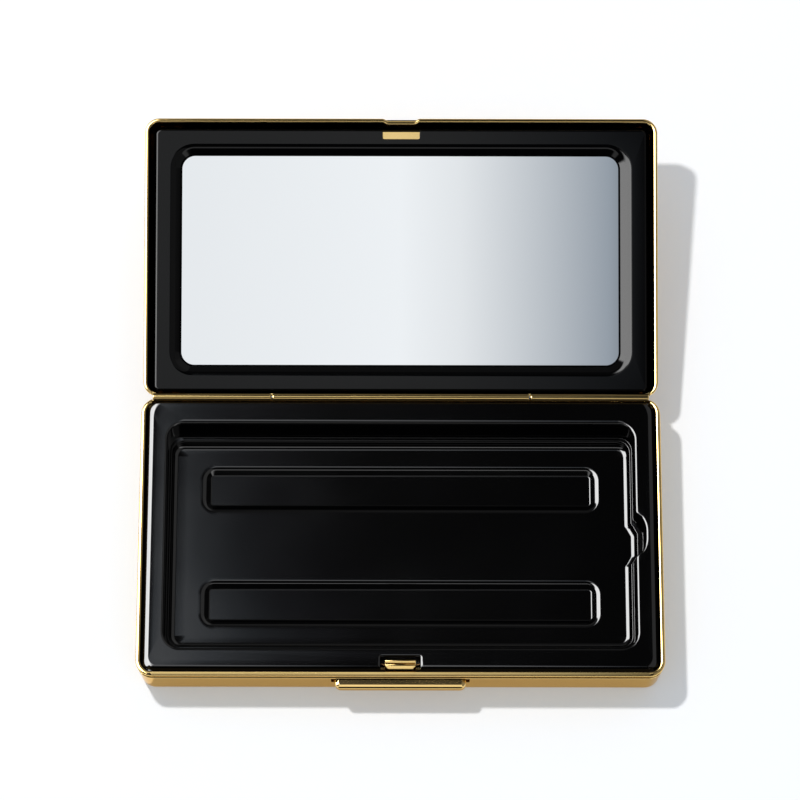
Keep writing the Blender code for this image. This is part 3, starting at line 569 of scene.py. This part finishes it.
# Lid pan
# The shallow upper shell, drawn and plated like the base. Its front rim is dented inwards as the lip
# that the hook catches. It is drawn closed and then turned open about the hinge.
hinge = next(joint for joint in frame["joints"] if joint["name"] == "lid_hinge")
HINGE_LINE = Vector(hinge["pos_m"]) * 1000
OPENING = Matrix.Rotation(-math.radians(hinge["range_deg"][1]), 3, "X")


def opened(bm):
    """Turns what is drawn closed to where it stands in the open lid."""
    bmesh.ops.rotate(bm, verts=bm.verts, cent=HINGE_LINE, matrix=OPENING)
    return bm


lid = lofted([
    (56.20, -30.05, 30.50, 2.30, 19.70, 1.5),
    (56.20, -30.05, 30.50, 2.30, 15.95),
    (56.20, -30.05, 30.50, 2.30, 15.70),
    (56.20, -30.05, 30.50, 2.30, 14.70, 0.45),
    (57.15, -30.96, 31.20, 3.25, 14.70, 0.45),
    (57.15, -30.96, 31.20, 3.25, 15.45, 0.1),
    (56.90, -30.75, 31.20, 3.00, 15.70),
    (56.90, -30.75, 31.20, 3.00, 20.30, 2.2),
])
# The lip: the front rim is cut into narrow strips in its middle and pushed back there
LIP_HALF, LIP_CUTS, LIP_DEPTH, LIP_TOP = 4.4, 24, 0.55, 15.72
RIM_INSIDE, OUTER_WALL, OUTER_FOOT = -29.5, -30.6, 15.6
for cut in range(LIP_CUTS + 1):
    bmesh.ops.bisect_plane(
        lid, geom=lid.verts[:] + lid.edges[:] + lid.faces[:], dist=1e-5,
        plane_co=(-LIP_HALF + 2 * LIP_HALF * cut / LIP_CUTS, 0, 0), plane_no=(1, 0, 0))
for vert in lid.verts:
    x, y, z = vert.co
    in_wall = y < OUTER_WALL and z > OUTER_FOOT
    if y < RIM_INSIDE and z < LIP_TOP and not in_wall:
        vert.co.y += LIP_DEPTH * swell(x, mouth=7.9, flat=6.0)
lid_seat = block((-55.3, 30.05, 14.0), (55.3, 32.4, 15.65))
lid_pan = shown(
    opened(without(lid, lid_seat)), "lid_pan", "lid_shell", "lid", gold_plate, 0.08)

# Mirror frame
# A black gloss moulding taped into the lid: a level border, a slope down to the glass and the seat
# behind it. A window in the front border leaves the lid's lip free for the hook.
MIRROR_SHIFT, SEAT_HALF = -0.2, 50.3
frame_black = surface(
    "gloss black frame", (0.0005, 0.0005, 0.0006), (0.0010, 0.0010, 0.0011), metallic=0.0,
    roughness=(0.06, 0.10), patch=0.022, grain_size=0.0012, relief=0.000003, specular=0.25)
border = lofted([
    (50.00, -24.05, 25.35, 4.2, 19.3),
    (50.00, -24.05, 25.35, 4.2, 17.4),
    (51.60, -25.45, 26.75, 5.6, 16.2),
    (54.20, -28.05, 29.35, 0.6, 16.2),
    (54.20, -28.05, 29.35, 0.6, 18.1),
    (54.90, -28.75, 30.05, 1.3, 18.1),
    (54.90, -28.75, 30.05, 1.3, 15.5, 0.6),
    (50.90, -24.75, 26.05, 4.9, 15.5, 0.7),
    (49.10, -23.15, 24.45, 3.3, 16.7),
    (49.10, -23.15, 24.45, 3.3, 18.3),
])
for vert in border.verts:
    if abs(vert.co.x) < SEAT_HALF:
        vert.co.x += MIRROR_SHIFT
hook_window = block((-4.15, -29.5, 14.0), (4.15, -26.45, 20.6), 0.4)
mirror_border = shown(
    opened(without(border, hook_window)), "mirror_border", "mirror_frame", "lid",
    frame_black, 0.1)

# Mirror
# Plain float glass, silvered behind and taped into the frame's seat. Its front edge is ground to a
# narrow bright bevel.
silver = surface(
    "silvered glass", (0.925, 0.94, 0.95), (0.915, 0.93, 0.94), metallic=1.0, roughness=(0.0, 0.012),
    patch=0.03, grain_size=0.004, relief=0.0)
glass = lofted([
    (48.70, -22.75, 24.05, 2.9, 16.7),
    (49.00, -23.05, 24.35, 3.2, 17.0),
    (49.00, -23.05, 24.35, 3.2, 17.9),
])
bmesh.ops.translate(glass, vec=(MIRROR_SHIFT, 0, 0), verts=glass.verts)
mirror_glass = shown(opened(glass), "mirror_glass", "mirror", "lid", silver, 0.0, 10)

# Hinge tubes
# Three lengths of drawn tube on one pin: the outer two are brazed on the base, the middle one on the
# lid. Their ends are turned round.
TUBE_RADIUS, TUBE_BORE = 0.8, 0.5


def tube(start, end):
    """A length of tube along the hinge's line, with rounded ends."""
    bm = bmesh.new()
    _, y, z = HINGE_LINE
    corners = [bm.verts.new((x, y, z + r)) for x, r in (
        (start, TUBE_BORE), (end, TUBE_BORE), (end, TUBE_RADIUS), (start, TUBE_RADIUS))]
    bm.faces.new(corners)
    bmesh.ops.bevel(
        bm, geom=corners[2:], offset=0.26, segments=5, profile=0.5, affect="VERTICES", material=-1)
    wire = bm.edges[:]
    for face in bm.faces[:]:
        bm.faces.remove(face)
    bmesh.ops.spin(
        bm, geom=wire + bm.verts[:], cent=(0, y, z), axis=(1, 0, 0), angle=math.tau, steps=48,
        use_merge=True)
    return bm


for name, node, body, start, end in (
        ("left_tube", "hinge_knuckle_left", "base", -55.0, -28.75),
        ("right_tube", "hinge_knuckle_right", "base", 28.75, 55.0),
        ("middle_tube", "hinge_knuckle_centre", "lid", -28.45, 28.45)):
    shown(tube(start, end), name, node, body, gold_plate)

# Hinge pin
# Bright drawn steel wire, cut to the hinge's length and pushed through the three tubes, which hide it
# but for its ends.
bright_steel = surface(
    "bright steel", (0.58, 0.59, 0.60), (0.50, 0.51, 0.53), metallic=1.0, roughness=(0.18, 0.30),
    patch=0.004, grain_size=0.0003, relief=0.000004)
frame["nodes"]["hinge_pin"].data.materials.clear()
frame["nodes"]["hinge_pin"].data.materials.append(bright_steel)

# Thumb bar
# A gilt bar that stands out of the slot in the front wall and is pressed with the thumb. A flange
# behind the wall keeps it in, and two studs on the flange carry the hook.
bar = lofted([
    (14.00, -33.00, -29.4, 1.00, 8.30, 0.1),
    (14.30, -33.30, -29.4, 1.30, 8.60, 0.15),
    (14.30, -33.30, -29.4, 1.30, 11.05, 0.12),
    (14.05, -32.98, -29.4, 1.00, 11.38, 0.06),
    (13.50, -32.50, -29.4, 0.45, 11.70, 0.06),
])
add_box(bar, (-16.2, -30.0, 7.2), (16.2, -29.4, 12.3))
STUD_PLACE, STUD_RADIUS, STUD_LENGTH = 6, 0.75, 0.9
for x in (-STUD_PLACE, STUD_PLACE):
    stud = bmesh.ops.create_cone(
        bar, cap_ends=True, segments=24, radius1=STUD_RADIUS, radius2=STUD_RADIUS,
        depth=STUD_LENGTH)["verts"]
    bmesh.ops.rotate(bar, matrix=Matrix.Rotation(math.pi / 2, 3, "X"), verts=stud)
    bmesh.ops.translate(bar, vec=(x, -29.15, 10.0), verts=stud)
thumb_piece = shown(bar, "thumb_piece", "thumb_bar", "latch", gold_plate)

# Hook
# Gilt strip bent up from a plate on the bar's studs. It stands through the tray's pocket, and its
# nose reaches forward over the lid's lip.
HOOK_WIDTH, NOSE_WIDTH = 6.7, 5.4
bm = bmesh.new()
profile = [
    (-29.30, 11.7), (-28.70, 11.7), (-28.70, 15.6), (-28.15, 15.8), (-27.98, 16.1), (-27.98, 16.9),
    (-28.15, 17.1), (-28.65, 16.76), (-28.80, 16.3), (-29.05, 16.3), (-29.15, 16.75), (-29.82, 16.3),
    (-29.82, 15.9), (-29.30, 15.9)]
side = bm.faces.new([bm.verts.new((-HOOK_WIDTH / 2, y, z)) for y, z in profile])
pushed = bmesh.ops.extrude_face_region(bm, geom=[side])["geom"]
bmesh.ops.translate(bm, vec=(HOOK_WIDTH, 0, 0), verts=verts_in(pushed))
for vert in bm.verts:
    if vert.co.y < -29.5:
        vert.co.x *= NOSE_WIDTH / HOOK_WIDTH
add_box(bm, (-8, -29.3, 7.2), (8, -28.7, 11.7))
hook = shown(bm, "hook", "latch_hook", "latch", gold_plate, 0.12)

# Leaf spring
# A strip of spring steel, bowed between the guide and the hook's plate. Its dark brown is a guessed
# temper and also painted shade. The real spring flattens as the bar is pressed; here it is drawn at rest.
LEAF_HALF, LEAF_WIDTH, LEAF_THICKNESS, LEAF_BOW = 7, 3, 0.25, 1.6
LEAF_ENDS, LEAF_FOOT, LEAF_CUTS = -26.8, 8.5, 23
# The spring's dark brown is a guessed temper and also painted shade: it keeps the spring as dark as the
# shaded pocket it stands in.
temper_and_shade_steel = surface(
    "spring steel, guessed temper and painted shade", (0.13, 0.07, 0.03), (0.09, 0.05, 0.025), metallic=1.0,
    roughness=(0.28, 0.42), patch=0.004, grain_size=0.0003, relief=0.000004, edge_tint=(0.4, 0.3, 0.2))
bm = bmesh.new()
chord = bm.edges.new([bm.verts.new((x, LEAF_ENDS, LEAF_FOOT)) for x in (-LEAF_HALF, LEAF_HALF)])
bmesh.ops.subdivide_edges(bm, edges=[chord], cuts=LEAF_CUTS)
for vert in bm.verts:
    vert.co.y -= LEAF_BOW * (1 - (vert.co.x / LEAF_HALF) ** 2)
raised = bmesh.ops.extrude_edge_only(bm, edges=bm.edges[:])["geom"]
bmesh.ops.translate(bm, vec=(0, 0, LEAF_WIDTH), verts=verts_in(raised))
bmesh.ops.solidify(bm, geom=bm.faces[:], thickness=LEAF_THICKNESS)
leaf = shown(bm, "leaf_spring", "latch_spring", "base", temper_and_shade_steel)
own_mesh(leaf)

# Guide and tapes
# The guide under the tray's front border is a plain matt moulding. The double-sided tapes that hold
# the tray, the frame and the mirror are pale foam.
matt_plastic = surface(
    "matt black plastic", (0.022, 0.022, 0.024), (0.032, 0.032, 0.034), metallic=0.0,
    roughness=(0.45, 0.62), patch=0.006, grain_size=0.0004, relief=0.00001)
foam = surface(
    "tape", (0.70, 0.69, 0.65), (0.62, 0.61, 0.57), metallic=0.0, roughness=(0.75, 0.9),
    patch=0.004, grain_size=0.0003, relief=0.00002)
for node, finish in (("latch_guide", matt_plastic), ("tray_tape_front", foam), ("tray_tape_rear", foam),
                     ("frame_tape", foam), ("mirror_tape", foam)):
    frame["nodes"][node].data.materials.clear()
    frame["nodes"][node].data.materials.append(finish)
